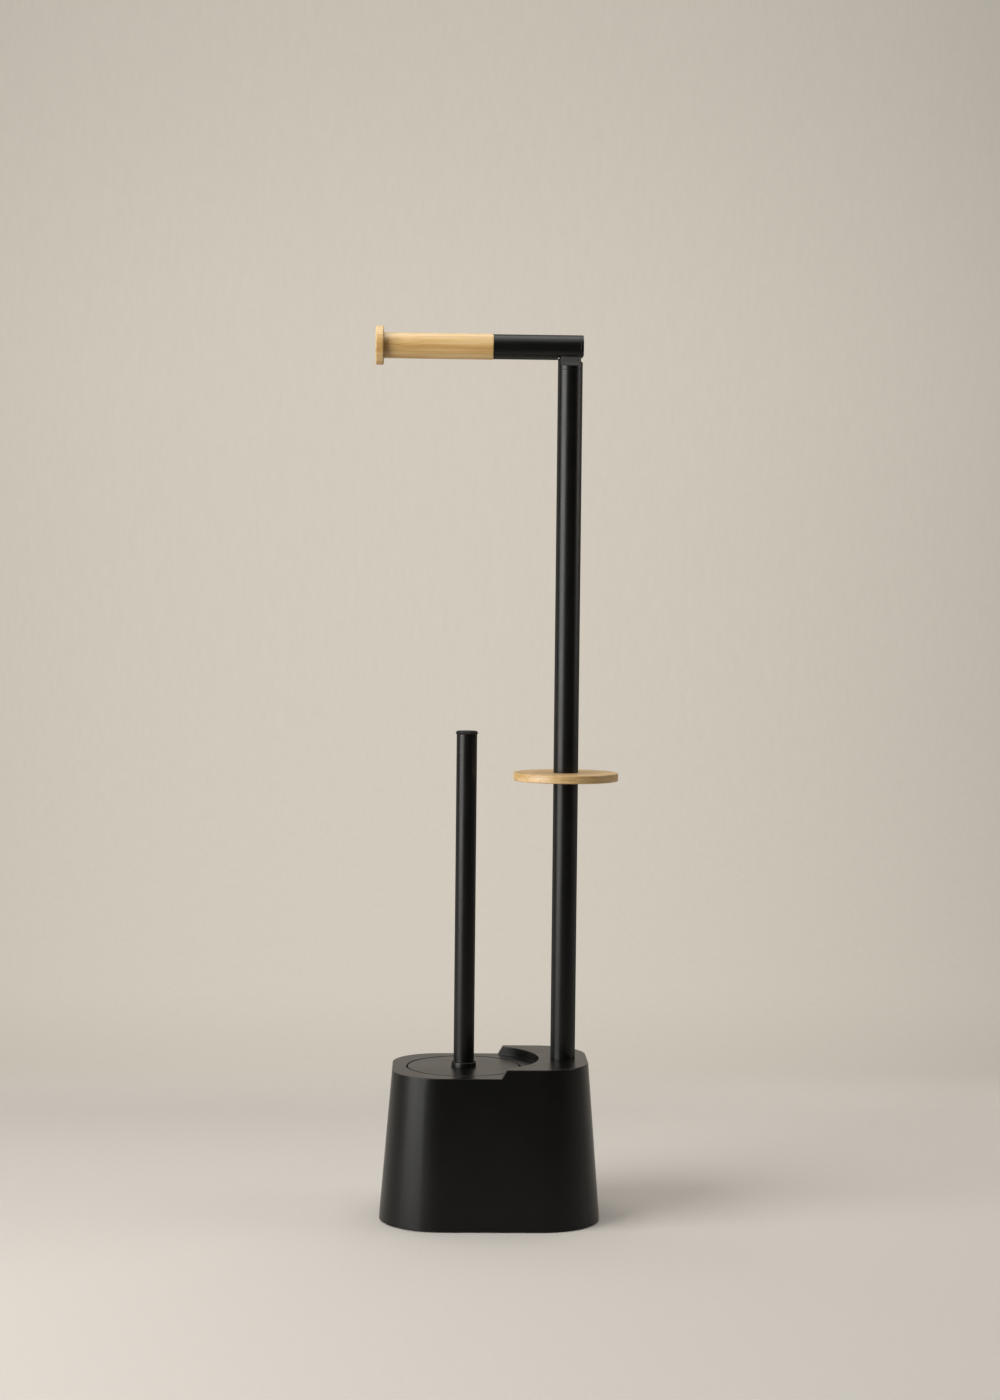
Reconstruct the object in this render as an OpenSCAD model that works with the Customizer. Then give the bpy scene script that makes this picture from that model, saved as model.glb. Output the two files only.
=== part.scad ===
// Free-standing toilet roll and brush stand, in millimetres with +Z up.
// The origin is the centre of the foot on the floor, the arm points along -X and the front faces -Y.

/* [Base] */
// Width of the foot
foot_w = 178; // [170:1:200]
// Depth of the foot
foot_d = 137.4; // [132:0.2:160]
// Corner radius of the foot
foot_r = 49.5; // [45:0.5:55]
// Height of the low deck round the brush
deck_h = 120.5; // [110:0.5:140]
// Height of the raised deck above the low deck
step_h = 7; // [5:0.5:10]
// How far the step runs back for its slope
step_run = 4; // [2:0.5:6]
// Top edge of the step, right of the foot's centre
step_x = 12; // [8:0.5:16]
// How far each side leans in from the floor to the low deck
side_draft = 9.7; // [7:0.1:11]
// Wall of the moulded shell
shell_wall = 2.4; // [2:0.1:2.8]
// Radius of the shell's upper edges
deck_edge_r = 1; // [0.6:0.1:1.4]
// Gap between the floor and the shell's lower edge
floor_gap = 0.8; // [0.5:0.1:1.2]
// Thickness of the non-slip sheet
pad_t = 2; // [1.5:0.1:3]
// Thickness of the bottom cover
plate_t = 2.5; // [2:0.1:3]

/* [Ballast] */
// Height of the iron weight
ballast_h = 36; // [30:1:50]
// Gap between the iron weight and the brush pot
ballast_gap = 6; // [4:0.5:8]
// Gap between the iron weight and the foot's right end
ballast_end_gap = 19; // [17:0.5:24]
// Gap between the iron weight and the foot's front and back
ballast_side_gap = 34.7; // [34:0.1:40]

/* [Pole] */
// Pole axis, in from the foot's right end
pole_inset = 30; // [28:0.5:32]
// Outer diameter of the pole and the arm
pole_d = 20; // [19:0.5:20]
// Wall of the pole and arm tubes
tube_wall = 1.2; // [1:0.1:1.4]
// Height of the spare roll disc's top face
disc_z = 360; // [330:5:400]
// Diameter of the spare roll disc
disc_d = 84.5; // [78:0.5:95]
// Thickness of the spare roll disc
disc_t = 6.2; // [5:0.2:8]
// Diameter of the stud that joins the two pole tubes
stud_d = 10; // [8:1:12]

/* [Arm] */
// Height of the hinge pin and of the arm's axis
pin_z = 703; // [650:1:760]
// Diameter of the hinge pin
pin_d = 5; // [4:0.5:5]
// Length of the arm tube's black part, left of the hinge pin
arm_l = 62.6; // [55:0.2:80]
// Diameter of the roll bar
bar_d = 19.5; // [18:0.5:20]
// Length of the roll bar
bar_l = 87.8; // [80:0.2:110]
// Diameter of the end disc
end_d = 31; // [28:0.5:36]
// Thickness of the end disc
end_t = 6.2; // [5:0.2:9]

/* [Brush] */
// Brush axis, left of the foot's centre
brush_x = 21.4; // [20:0.2:22]
// Diameter of the brush lid
lid_d = 92; // [88:1:94]
// Thickness of the brush lid
lid_t = 2.6; // [2:0.1:3]
// Gap round the brush lid
lid_gap = 0.6; // [0.4:0.1:0.8]
// Radius of the finger scoop round the brush axis
scoop_r = 61; // [58:0.5:63]
// Top of the brush handle above the floor
handle_top = 393; // [360:1:430]
// Diameter of the brush handle
handle_d = 16.6; // [15:0.2:18]
// Wall of the handle tube
handle_wall = 1; // [0.8:0.1:1.2]
// Diameter of the collar on the lid
collar_d = 18.6; // [18.6:0.2:20]
// Height of the collar on the lid
collar_h = 3.2; // [2:0.2:5]
// Diameter of the brush stem
stem_d = 8; // [6:0.5:9]
// Diameter across the bristles
bristle_d = 68; // [60:1:70]
// Length of the bristle head
bristle_l = 72; // [60:1:74]

/* [Hidden] */
$fn = 96;
over = 1;
fit = 0.02;
run = 0.05;
seat = 0.3;
arc_steps = 6;
pole_r = pole_d / 2;
tube_in_r = pole_r - tube_wall;
draft_angle = atan(side_draft / deck_h);
edge_proud = 0.15;
high_h = deck_h + step_h;
corner_x = foot_w / 2 - foot_r;
corner_y = foot_d / 2 - foot_r;
brush_at = -brush_x;
pole_x = foot_w / 2 - pole_inset;

// Bottom cover, its screws and the posts they hold in
plate_z = pad_t;
plate_top = plate_z + plate_t;
plate_inset = shell_wall + seat + side_draft * plate_top / deck_h;
pad_inset = 6;
post_inset_x = 28;
post_inset_y = 27.2;
post_x = foot_w / 2 - post_inset_x;
post_y = foot_d / 2 - post_inset_y;
post_r = 4;
post_bore_r = 1.5;
screw_r = post_bore_r - fit;
screw_head_r = 2.9;
screw_head_h = 1.6;
screw_l = 12;
post_bore_l = 14;
access_r = 9;
pad_access_r = 10;

// Weight, pole bolt and washer
pot_top_r = 42.4;
ballast_low_x = brush_at + pot_top_r + ballast_gap;
ballast_high_x = foot_w / 2 - ballast_end_gap;
ballast_w = ballast_high_x - ballast_low_x;
ballast_d = foot_d - 2 * ballast_side_gap;
ballast_x = (ballast_low_x + ballast_high_x) / 2;
ballast_edge_r = 6;
ballast_top = plate_top + ballast_h;
head_pocket_r = 8;
head_pocket_h = 12;
bolt_r = 4;
bolt_clear_r = 4.5;
bolt_head_r = 6.5;
bolt_head_h = 8;
bolt_key_r = 3.4;
bolt_key_h = 4.5;
washer_r = 7.8;
washer_t = 1.6;
bolt_grip = 22;
pole_foot_sink = 8;
pole_foot_z = ballast_top - pole_foot_sink;
plug_l = 26;
guide_wall = 2.2;
guide_l = 24;
pole_clear = 0.1;
stud_r = stud_d / 2;
stud_hold = 22;
disc_edge_r = 0.6;

// Knuckle: drops are measured down from the hinge pin
pin_r = pin_d / 2;
pin_half_l = 8.3;
cap_drop = 18;
cap_spigot_l = 24;
pocket_drop = 15;
pocket_corner_r = 4.2;
pocket_corner_x = 3.9;
pocket_root_r = 3.4;
left_drop = 8.9;
right_drop = 11.6;
neck_r = tube_in_r - 4 * run;
slot_half = 6.4;
knuckle_washer_t = 0.4;
knuckle_washer_r = 5.5;
tang_half = slot_half - knuckle_washer_t - 2 * run;
slot_back = 10.2;
fork_back = 28;
arm_end = 10.3;
flange_t = 2.4;

// Arm joints
arm_left = pole_x - arm_l;
bar_left = arm_left - bar_l;
arm_plug_l = 20;
bar_stud_r = 3;
bar_stud_hold = 16;
bar_stud_in_bar = 24;
dowel_r = 4;
dowel_in_bar = 18;
dowel_in_disc = 3.6;
end_edge_r = 0.8;
bar_edge_r = 0.4;

// Lid, pot and brush
lid_r = lid_d / 2;
lid_edge_r = 0.9;
lid_z = deck_h - lid_t;
flange_pot_t = 1.6;
ledge_z = lid_z - flange_pot_t;
ledge_t = 2.4;
pot_flange_r = lid_r - seat;
pot_wall = 1.6;
pot_draft = 2.6;
ledge_r = pot_top_r + 2 * seat;
ledge_ring_r = lid_r + lid_gap + shell_wall;
pot_floor_t = 2;
pot_foot_gap = 3;
pot_z = plate_top + pot_foot_gap;
handle_z = deck_h + collar_h;
handle_r = handle_d / 2;
handle_in_r = handle_r - handle_wall;
cap_t = 1.6;
cap_edge_r = 0.6;
cap_spigot_h = 8;
handle_plug_l = 24;
stem_r = stem_d / 2;
stem_in_handle = 18;
nut_r = 8;
nut_t = 5;
tip_gap = 3.5;
bristle_z = pot_z + pot_floor_t + tip_gap;
core_r = 9;
core_up = 12;
core_tip = 14;
core_z = bristle_z + core_tip;
core_l = bristle_l - core_tip + core_up;
stem_in_core = 20;
bristle_dome = 14;

// Corner radius of the base at a height, drawn in from the outer face
function side_r(inset, z) = foot_r - inset - side_draft * z / deck_h;

// One side of the base from low to top, with its upper edge rounded, measured out from a corner's centre
function side_points(inset, low, top, edge) =
    let (edge_z = top - edge, edge_x = side_r(inset, edge_z) - edge / cos(draft_angle))
    concat([[side_r(inset, low), low]],
           edge == 0 ? [[side_r(inset, top), top]]
                     : [for (i = [0:arc_steps])
                            let (a = draft_angle + (90 - draft_angle) * i / arc_steps)
                            [edge_x + edge * cos(a), edge_z + edge * sin(a)]]);

// Rounded rectangle that leans in as it rises, the form of the base and of its hollow
module leaning_block(inset, low, top, edge) {
    side = side_points(inset, low, top, edge);
    for (quarter = [0:3]) {
        sx = (quarter == 0 || quarter == 3) ? 1 : -1;
        sy = quarter < 2 ? 1 : -1;
        translate([sx * corner_x, sy * corner_y, 0])
            rotate([0, 0, 90 * quarter])
                rotate_extrude(angle = 90)
                    polygon(concat([[0, low]], side, [[0, top]]));
    }
    rotate([90, 0, 90])
        linear_extrude(height = 2 * corner_x, center = true)
            leaning_section(corner_y, side);
    rotate([90, 0, 0])
        linear_extrude(height = 2 * corner_y, center = true)
            leaning_section(corner_x, side);
}

module leaning_section(reach, side) {
    n = len(side);
    polygon(concat([for (p = side) [reach + p.x, p.y]],
                   [for (i = [n - 1:-1:0]) [-reach - side[i].x, side[i].y]]));
}

// Flat plate with round corners, from the floor's rounded rectangle drawn in
module foot_plate(inset, z, t) {
    r = foot_r - inset;
    translate([0, 0, z])
        linear_extrude(height = t) {
            square([2 * (corner_x + r), 2 * corner_y], center = true);
            square([2 * corner_x, 2 * (corner_y + r)], center = true);
            for (sx = [-1, 1], sy = [-1, 1])
                translate([sx * corner_x, sy * corner_y])
                    circle(r = r);
        }
}

// Round bar or disc along +Z with both outer edges rounded
module rounded_round(r, h, edge, bore = 0) {
    rotate_extrude()
        polygon(concat([[bore, 0]],
                       [for (i = [0:arc_steps])
                            let (a = -90 + 90 * i / arc_steps)
                            [r - edge + edge * cos(a), edge + edge * sin(a)]],
                       [for (i = [0:arc_steps])
                            let (a = 90 * i / arc_steps)
                            [r - edge + edge * cos(a), h - edge + edge * sin(a)]],
                       [[bore, h]]));
}

// Plain round along +Z, with a bore when one is given
module ring(r, h, bore) {
    difference() {
        cylinder(r = r, h = h);
        translate([0, 0, -over])
            cylinder(r = bore, h = h + 2 * over);
    }
}

module at_pole(z) {
    translate([pole_x, 0, z])
        children();
}

module at_brush(z) {
    translate([brush_at, 0, z])
        children();
}

// Places a round that is drawn along +Z onto the arm's axis, pointing along +X
module on_arm(x) {
    translate([x, 0, pin_z])
        rotate([0, 90, 0])
            children();
}

module at_posts(z) {
    for (sx = [-1, 1], sy = [-1, 1])
        translate([sx * post_x, sy * post_y, z])
            children();
}

module foot_pad() {
    color("#2b2b2a")
    difference() {
        foot_plate(pad_inset, 0, pad_t);
        at_pole(-over)
            cylinder(r = pad_access_r, h = pad_t + 2 * over);
    }
}

module base_plate() {
    color("#1d1d1c")
    difference() {
        foot_plate(plate_inset, plate_z, plate_t);
        at_pole(plate_z - over)
            cylinder(r = access_r, h = plate_t + 2 * over);
        at_posts(plate_z - over)
            cylinder(r = post_bore_r, h = plate_t + 2 * over);
        at_posts(plate_z)
            cylinder(r1 = screw_head_r + run, r2 = post_bore_r, h = screw_head_h);
        at_posts(plate_z - over)
            cylinder(r = screw_head_r + run, h = over);
    }
}

module base_plate_screws() {
    color("#8f9093")
    at_posts(plate_z)
        difference() {
            union() {
                cylinder(r1 = screw_head_r, r2 = screw_r, h = screw_head_h);
                cylinder(r = screw_r, h = screw_l);
            }
            for (turn = [0, 90])
                rotate([0, 0, turn])
                    cube([2 * screw_r, screw_r / 2, screw_head_h], center = true);
        }
}

module ballast_weight() {
    half_w = ballast_w / 2 - ballast_edge_r;
    half_d = ballast_d / 2 - ballast_edge_r;
    color("#3c3c3d")
    difference() {
        translate([ballast_x, 0, plate_top])
            linear_extrude(height = ballast_h) {
                square([ballast_w, 2 * half_d], center = true);
                square([2 * half_w, ballast_d], center = true);
                for (sx = [-1, 1], sy = [-1, 1])
                    translate([sx * half_w, sy * half_d])
                        circle(r = ballast_edge_r);
            }
        at_pole(plate_top - over)
            cylinder(r = head_pocket_r, h = head_pocket_h + over);
        at_pole(plate_top)
            cylinder(r = bolt_clear_r, h = ballast_h);
        at_pole(pole_foot_z)
            cylinder(r = pole_r + pole_clear, h = pole_foot_sink + over);
    }
}

// Space over the low deck, left of the sloping step or inside the finger scoop, with its slope run on downwards
module low_deck_space(wall, drop) {
    translate([0, foot_d, deck_h - wall])
        rotate([90, 0, 0])
            linear_extrude(height = 2 * foot_d)
                polygon([[-foot_w, -drop], [step_x + wall - step_run * (1 + drop / step_h), -drop],
                         [step_x + wall, step_h], [step_x + wall, 2 * step_h], [-foot_w, 2 * step_h]]);
    at_brush(deck_h - wall)
        cylinder(r = scoop_r + wall, h = 2 * step_h);
}

// Softens the deck's edge round the lid
module lid_rim() {
    r = lid_r + lid_gap;
    rotate_extrude()
        polygon(concat([[r - over, over], [r - over, -lid_edge_r]],
                       [for (i = [0:arc_steps])
                            let (a = 180 - 90 * i / arc_steps)
                            [r + lid_edge_r + lid_edge_r * cos(a), -lid_edge_r + lid_edge_r * sin(a)]],
                       [[r + lid_edge_r, over]]));
}

module base_shell() {
    color("#232322")
    difference() {
        union() {
            difference() {
                leaning_block(0, floor_gap, high_h, deck_edge_r);
                // the low deck, whose edge is rounded a little proud of the sides so that the two cross
                difference() {
                    low_deck_space(0, 2 * deck_edge_r);
                    leaning_block(-edge_proud, deck_h / 2, deck_h, deck_edge_r + edge_proud);
                }
                // the hollow, one wall inside the outer faces
                difference() {
                    leaning_block(shell_wall, -over, high_h - shell_wall, 0);
                    low_deck_space(shell_wall, 0);
                }
            }
            // seat ring that carries the brush pot
            at_brush(ledge_z - ledge_t)
                cylinder(r = ledge_ring_r, h = ledge_t + flange_pot_t + lid_t - shell_wall);
            // guide round the pole
            at_pole(high_h - shell_wall - guide_l)
                cylinder(r = pole_r + pole_clear + guide_wall, h = guide_l);
            // posts for the bottom cover's screws, up to the deck over each
            for (sx = [-1, 1], sy = [-1, 1])
                translate([sx * post_x, sy * post_y, plate_top])
                    cylinder(r = post_r, h = (sx > 0 ? high_h : deck_h) - shell_wall - plate_top);
        }
        at_brush(ledge_z)
            cylinder(r = lid_r + lid_gap, h = deck_h);
        at_brush(deck_h)
            lid_rim();
        at_brush(ledge_z - ledge_t - over)
            cylinder(r = ledge_r, h = deck_h);
        at_pole(high_h - shell_wall - guide_l - over)
            cylinder(r = pole_r + pole_clear, h = deck_h);
        at_posts(plate_top - over)
            cylinder(r = post_bore_r, h = post_bore_l + over);
    }
}

module pole_bolt() {
    head_z = plate_top + head_pocket_h - washer_t - bolt_head_h;
    color("#9a9b9e")
    at_pole(head_z)
        difference() {
            union() {
                cylinder(r = bolt_head_r, h = bolt_head_h);
                cylinder(r = bolt_r, h = pole_foot_z + bolt_grip - head_z);
            }
            translate([0, 0, -over])
                cylinder(r = bolt_key_r, h = bolt_key_h + over, $fn = 6);
        }
}

module pole_bolt_washer() {
    color("#9a9b9e")
    at_pole(plate_top + head_pocket_h - washer_t)
        ring(washer_r, washer_t, bolt_r + run);
}

module pole_foot_plug() {
    color("#55565a")
    at_pole(pole_foot_z)
        ring(tube_in_r - fit, plug_l, bolt_r + fit);
}

module lower_pole() {
    color("#20201f")
    at_pole(pole_foot_z)
        ring(pole_r, disc_z - disc_t - pole_foot_z, tube_in_r);
}

module lower_pole_top_plug() {
    color("#55565a")
    at_pole(disc_z - disc_t - plug_l)
        ring(tube_in_r - fit, plug_l, stud_r + fit);
}

module spare_roll_disc() {
    color("#d9b27c")
    at_pole(disc_z - disc_t)
        rounded_round(disc_d / 2, disc_t, disc_edge_r, stud_r + 2 * run);
}

module joining_stud() {
    color("#9a9b9e")
    at_pole(disc_z - disc_t - stud_hold)
        cylinder(r = stud_r, h = disc_t + 2 * stud_hold);
}

module upper_pole_bottom_plug() {
    color("#55565a")
    at_pole(disc_z)
        ring(tube_in_r - fit, plug_l, stud_r + fit);
}

module upper_pole() {
    color("#20201f")
    at_pole(disc_z)
        ring(pole_r, pin_z - cap_drop - disc_z, tube_in_r);
}

// Side view of the pocket beside the tang, square on the left and rounded on the right
module pocket_side_view() {
    left = -pole_r - over;
    translate([left, -pocket_drop])
        square([pocket_corner_x - left, pocket_drop]);
    translate([left, -pocket_drop + pocket_corner_r])
        square([pocket_corner_x + pocket_corner_r - left, pocket_drop - pocket_corner_r]);
    translate([pocket_corner_x, -pocket_drop + pocket_corner_r])
        circle(r = pocket_corner_r);
}

// Section across a pocket, which leaves the tang with a round root
module pocket_section(side, reach) {
    root = [tang_half + pocket_root_r, -pocket_drop + pocket_root_r];
    outline = concat([[reach, 0], [tang_half, 0]],
                     [for (i = [0:arc_steps])
                          let (a = 180 + 90 * i / arc_steps)
                          [root.x + pocket_root_r * cos(a), root.y + pocket_root_r * sin(a)]],
                     [[reach, -pocket_drop]]);
    polygon([for (p = outline) [side * p.x, p.y]]);
}

module knuckle_cap() {
    slab = pole_r + over;
    color("#20201f")
    at_pole(pin_z)
        difference() {
            union() {
                translate([0, 0, -cap_drop - cap_spigot_l])
                    cylinder(r = tube_in_r - fit, h = cap_spigot_l);
                translate([0, 0, -cap_drop])
                    cylinder(r = pole_r, h = cap_drop - pocket_drop);
                // shoulders: the left one stops the arm, the right one clears it
                difference() {
                    translate([0, 0, -pocket_drop])
                        cylinder(r = pole_r, h = pocket_drop - left_drop);
                    translate([0, -slab, -right_drop])
                        cube([slab, 2 * slab, right_drop]);
                    for (side = [-1, 1])
                        intersection() {
                            rotate([90, 0, 0])
                                linear_extrude(height = 2 * slab, center = true)
                                    pocket_side_view();
                            rotate([90, 0, 90])
                                linear_extrude(height = 2 * slab, center = true)
                                    pocket_section(side, slab);
                        }
                }
                // tang with a ball top, flat on both sides
                intersection() {
                    union() {
                        translate([0, 0, -pocket_drop])
                            cylinder(r = neck_r, h = pocket_drop);
                        sphere(r = neck_r);
                    }
                    translate([-slab, -tang_half, -cap_drop])
                        cube([2 * slab, 2 * tang_half, cap_drop + slab]);
                }
            }
            rotate([90, 0, 0])
                cylinder(r = pin_r + run, h = 2 * slab, center = true);
        }
}

module hinge_pin() {
    color("#9a9b9e")
    at_pole(pin_z)
        rotate([90, 0, 0])
            cylinder(r = pin_r, h = 2 * pin_half_l, center = true);
}

module hinge_washers() {
    color("#e4e2da")
    at_pole(pin_z)
        for (side = [-1, 1])
            translate([0, side * (tang_half + run + knuckle_washer_t / 2), 0])
                rotate([90, 0, 0])
                    translate([0, 0, -knuckle_washer_t / 2])
                        ring(knuckle_washer_r, knuckle_washer_t, pin_r + fit);
}

// Slot under the arm that takes the tang, up to a height over the axis
module knuckle_slot(height) {
    translate([pole_x - slot_back, -slot_half, pin_z - pole_r - over])
        cube([slot_back + arm_end + over, 2 * slot_half, pole_r + over + height]);
}

module arm_tube() {
    color("#20201f")
    difference() {
        on_arm(arm_left)
            ring(pole_r, pole_x + arm_end - flange_t - arm_left, tube_in_r);
        knuckle_slot(0);
    }
}

module arm_fork() {
    plug_end = pole_x + arm_end - flange_t;
    color("#20201f")
    difference() {
        union() {
            on_arm(pole_x - fork_back)
                cylinder(r = tube_in_r - fit, h = plug_end - pole_x + fork_back);
            on_arm(plug_end)
                cylinder(r = pole_r, h = flange_t);
        }
        knuckle_slot(0);
        intersection() {
            knuckle_slot(pole_r + over);
            on_arm(pole_x - slot_back)
                cylinder(r = tube_in_r, h = slot_back + arm_end + over);
        }
        translate([pole_x, 0, pin_z])
            rotate([90, 0, 0])
                cylinder(r = pin_r + fit, h = 2 * pin_half_l + over, center = true);
    }
}

module arm_end_plug() {
    color("#55565a")
    on_arm(arm_left)
        ring(tube_in_r - fit, arm_plug_l, bar_stud_r + fit);
}

module bar_stud() {
    color("#9a9b9e")
    on_arm(arm_left - bar_stud_in_bar)
        cylinder(r = bar_stud_r, h = bar_stud_in_bar + bar_stud_hold);
}

module roll_bar() {
    color("#d9b27c")
    difference() {
        on_arm(bar_left)
            rounded_round(bar_d / 2, bar_l, bar_edge_r);
        on_arm(arm_left - bar_stud_in_bar - seat)
            cylinder(r = bar_stud_r + fit, h = bar_stud_in_bar + seat + over);
        on_arm(bar_left - over)
            cylinder(r = dowel_r + fit, h = dowel_in_bar + seat + over);
    }
}

module end_disc_dowel() {
    color("#d2a86e")
    on_arm(bar_left - dowel_in_disc)
        cylinder(r = dowel_r, h = dowel_in_disc + dowel_in_bar);
}

module end_disc() {
    color("#d9b27c")
    difference() {
        on_arm(bar_left - end_t)
            rounded_round(end_d / 2, end_t, end_edge_r);
        on_arm(bar_left - dowel_in_disc - seat)
            cylinder(r = dowel_r + fit, h = dowel_in_disc + seat + over);
    }
}

module brush_pot() {
    top_in_r = pot_top_r - pot_wall;
    foot_out_r = pot_top_r - pot_draft;
    color("#4a4b4c")
    at_brush(0)
        rotate_extrude()
            polygon([[0, pot_z], [foot_out_r, pot_z], [pot_top_r, ledge_z], [pot_flange_r, ledge_z],
                     [pot_flange_r, lid_z], [top_in_r, lid_z],
                     [foot_out_r - pot_wall, pot_z + pot_floor_t], [0, pot_z + pot_floor_t]]);
}

module brush_lid() {
    color("#232322")
    at_brush(lid_z)
        rounded_round(lid_r, lid_t, lid_edge_r, stem_r + fit);
}

module handle_collar() {
    color("#20201f")
    at_brush(deck_h)
        rounded_round(collar_d / 2, collar_h, cap_edge_r, stem_r + fit);
}

module brush_handle() {
    color("#20201f")
    at_brush(handle_z)
        ring(handle_r, handle_top - cap_t - handle_z, handle_in_r);
}

module handle_top_cap() {
    color("#20201f")
    at_brush(handle_top - cap_t) {
        intersection() {
            translate([0, 0, -cap_t])
                rounded_round(handle_r, 2 * cap_t, cap_edge_r);
            cylinder(r = handle_d, h = handle_d);
        }
        translate([0, 0, -cap_spigot_h])
            cylinder(r = handle_in_r - fit, h = cap_spigot_h);
    }
}

module handle_bottom_plug() {
    color("#55565a")
    at_brush(handle_z)
        ring(handle_in_r - fit, handle_plug_l, stem_r + fit);
}

module brush_stem() {
    stem_z = core_z + core_l - stem_in_core;
    color("#9a9b9e")
    at_brush(stem_z)
        cylinder(r = stem_r, h = handle_z + stem_in_handle - stem_z);
}

module lid_nut() {
    color("#8f9093")
    at_brush(lid_z - nut_t)
        difference() {
            cylinder(r = nut_r, h = nut_t, $fn = 6);
            translate([0, 0, -over])
                cylinder(r = stem_r + fit, h = nut_t + 2 * over);
        }
}

module brush_head_core() {
    color("#e9e8e3")
    at_brush(core_z)
        difference() {
            cylinder(r = core_r, h = core_l);
            translate([0, 0, core_l - stem_in_core])
                cylinder(r = stem_r + fit, h = stem_in_core + over);
        }
}

// Outline of the bristle head, from its domed tip to its flat top
module bristles() {
    r = bristle_d / 2;
    color("#f2f1ec")
    at_brush(bristle_z)
        difference() {
            rotate_extrude()
                polygon(concat([for (i = [0:arc_steps])
                                    let (a = 90 * i / arc_steps)
                                    [r * sin(a), bristle_dome - bristle_dome * cos(a)]],
                               [[r, bristle_l], [0, bristle_l]]));
            translate([0, 0, core_z - bristle_z])
                cylinder(r = core_r, h = bristle_l);
        }
}

foot_pad();
base_plate();
base_plate_screws();
ballast_weight();
base_shell();
pole_bolt();
pole_bolt_washer();
pole_foot_plug();
lower_pole();
lower_pole_top_plug();
spare_roll_disc();
joining_stud();
upper_pole_bottom_plug();
upper_pole();
knuckle_cap();
hinge_pin();
hinge_washers();
arm_tube();
arm_fork();
arm_end_plug();
bar_stud();
roll_bar();
end_disc_dowel();
end_disc();
brush_pot();
brush_lid();
handle_collar();
brush_handle();
handle_top_cap();
handle_bottom_plug();
brush_stem();
lid_nut();
brush_head_core();
bristles();
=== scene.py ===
import math

import bmesh
import bpy
from mathutils import Matrix, Vector


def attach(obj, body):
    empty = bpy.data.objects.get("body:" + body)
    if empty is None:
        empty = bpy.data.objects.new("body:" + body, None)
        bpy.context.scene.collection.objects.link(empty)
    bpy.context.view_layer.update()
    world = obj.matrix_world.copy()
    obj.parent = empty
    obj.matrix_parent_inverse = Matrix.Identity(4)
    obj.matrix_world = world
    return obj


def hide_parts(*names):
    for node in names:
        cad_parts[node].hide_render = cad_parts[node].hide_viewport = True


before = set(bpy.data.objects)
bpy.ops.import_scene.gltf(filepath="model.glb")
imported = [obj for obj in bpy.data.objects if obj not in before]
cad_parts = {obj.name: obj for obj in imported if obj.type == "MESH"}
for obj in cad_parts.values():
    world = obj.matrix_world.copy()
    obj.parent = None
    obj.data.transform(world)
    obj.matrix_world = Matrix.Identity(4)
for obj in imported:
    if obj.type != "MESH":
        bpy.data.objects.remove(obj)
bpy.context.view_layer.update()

# Foot pad: a sheet of black EVA foam, die-cut to the foot's outline and glued under the base.
# Small round nubs on its underside grip the tiles. A hole in it leaves room for the pole bolt's key.
MM = 0.001
WELD = 0.002  # mm: points closer than this are one
CREASE = 35  # degrees: a sharper fold stays an edge


def linear(code):
    """An sRGB hex colour as the linear colour that shaders take."""
    parts = [int(code[i:i + 2], 16) / 255 for i in (1, 3, 5)]
    return [p / 12.92 if p <= 0.04045 else ((p + 0.055) / 1.055) ** 2.4 for p in parts] + [1.0]


def put(tree, kind, links=None, **settings):
    """Adds a node with its settings, and fills or links its inputs."""
    node = tree.nodes.new(kind)
    for key, value in settings.items():
        setattr(node, key, value)
    for key, value in (links or {}).items():
        if isinstance(value, bpy.types.Node):
            value = value.outputs[0]
        if isinstance(value, bpy.types.NodeSocket):
            tree.links.new(value, node.inputs[key])
        else:
            node.inputs[key].default_value = value
    return node


def finish(name, **values):
    """A material whose shader starts from one base finish: material, node tree and shader."""
    material = bpy.data.materials.new(name)
    material.use_nodes = True
    tree = material.node_tree
    tree.nodes.clear()
    shader = put(tree, "ShaderNodeBsdfPrincipled", {key.replace("_", " "): v for key, v in values.items()})
    put(tree, "ShaderNodeOutputMaterial", {"Surface": shader})
    return material, tree, shader


def place_of(tree, centre=(0, 0, 0)):
    """Where a point lies on the object, from a centre in mm."""
    here = put(tree, "ShaderNodeTexCoord").outputs["Object"]
    moved = put(tree, "ShaderNodeVectorMath", {0: here, 1: [-c * MM for c in centre]}, operation="ADD")
    return moved.outputs[0]


def grain(tree, shader, size, height):
    """Lets fine bumps of one size and height, in mm, catch the light."""
    noise = put(tree, "ShaderNodeTexNoise",
                {"Vector": place_of(tree), "Scale": 1 / (size * MM), "Detail": 3, "Roughness": 0.6})
    bump = put(tree, "ShaderNodeBump", {"Height": noise, "Distance": height * MM})
    tree.links.new(bump.outputs[0], shader.inputs["Normal"])


def toned(tree, shader, value, low, high):
    """Lets a value lead the base colour from one tone to another: the stops of its ramp."""
    ramp = put(tree, "ShaderNodeValToRGB", {0: value})
    stops = ramp.color_ramp.elements
    stops[0].color, stops[1].color = linear(low), linear(high)
    tree.links.new(ramp.outputs[0], shader.inputs["Base Color"])
    return stops


def own(name, mesh, material, smooth=CREASE):
    """A piece from a mesh, smooth where its faces meet at less than an angle."""
    mesh.materials.clear()
    mesh.materials.append(material)
    for face in mesh.polygons:
        face.use_smooth = True
    mesh.set_sharp_from_angle(angle=math.radians(smooth))
    piece = bpy.data.objects.new(name, mesh)
    bpy.context.scene.collection.objects.link(piece)
    return piece


def settle(piece):
    """Turns a piece's modifiers into plain mesh."""
    graph = bpy.context.evaluated_depsgraph_get()
    graph.update()
    done = piece.evaluated_get(graph)
    made = bpy.data.meshes.new_from_object(done, preserve_all_data_layers=True, depsgraph=graph)
    piece.modifiers.clear()
    piece.data = made
    return piece


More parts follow.
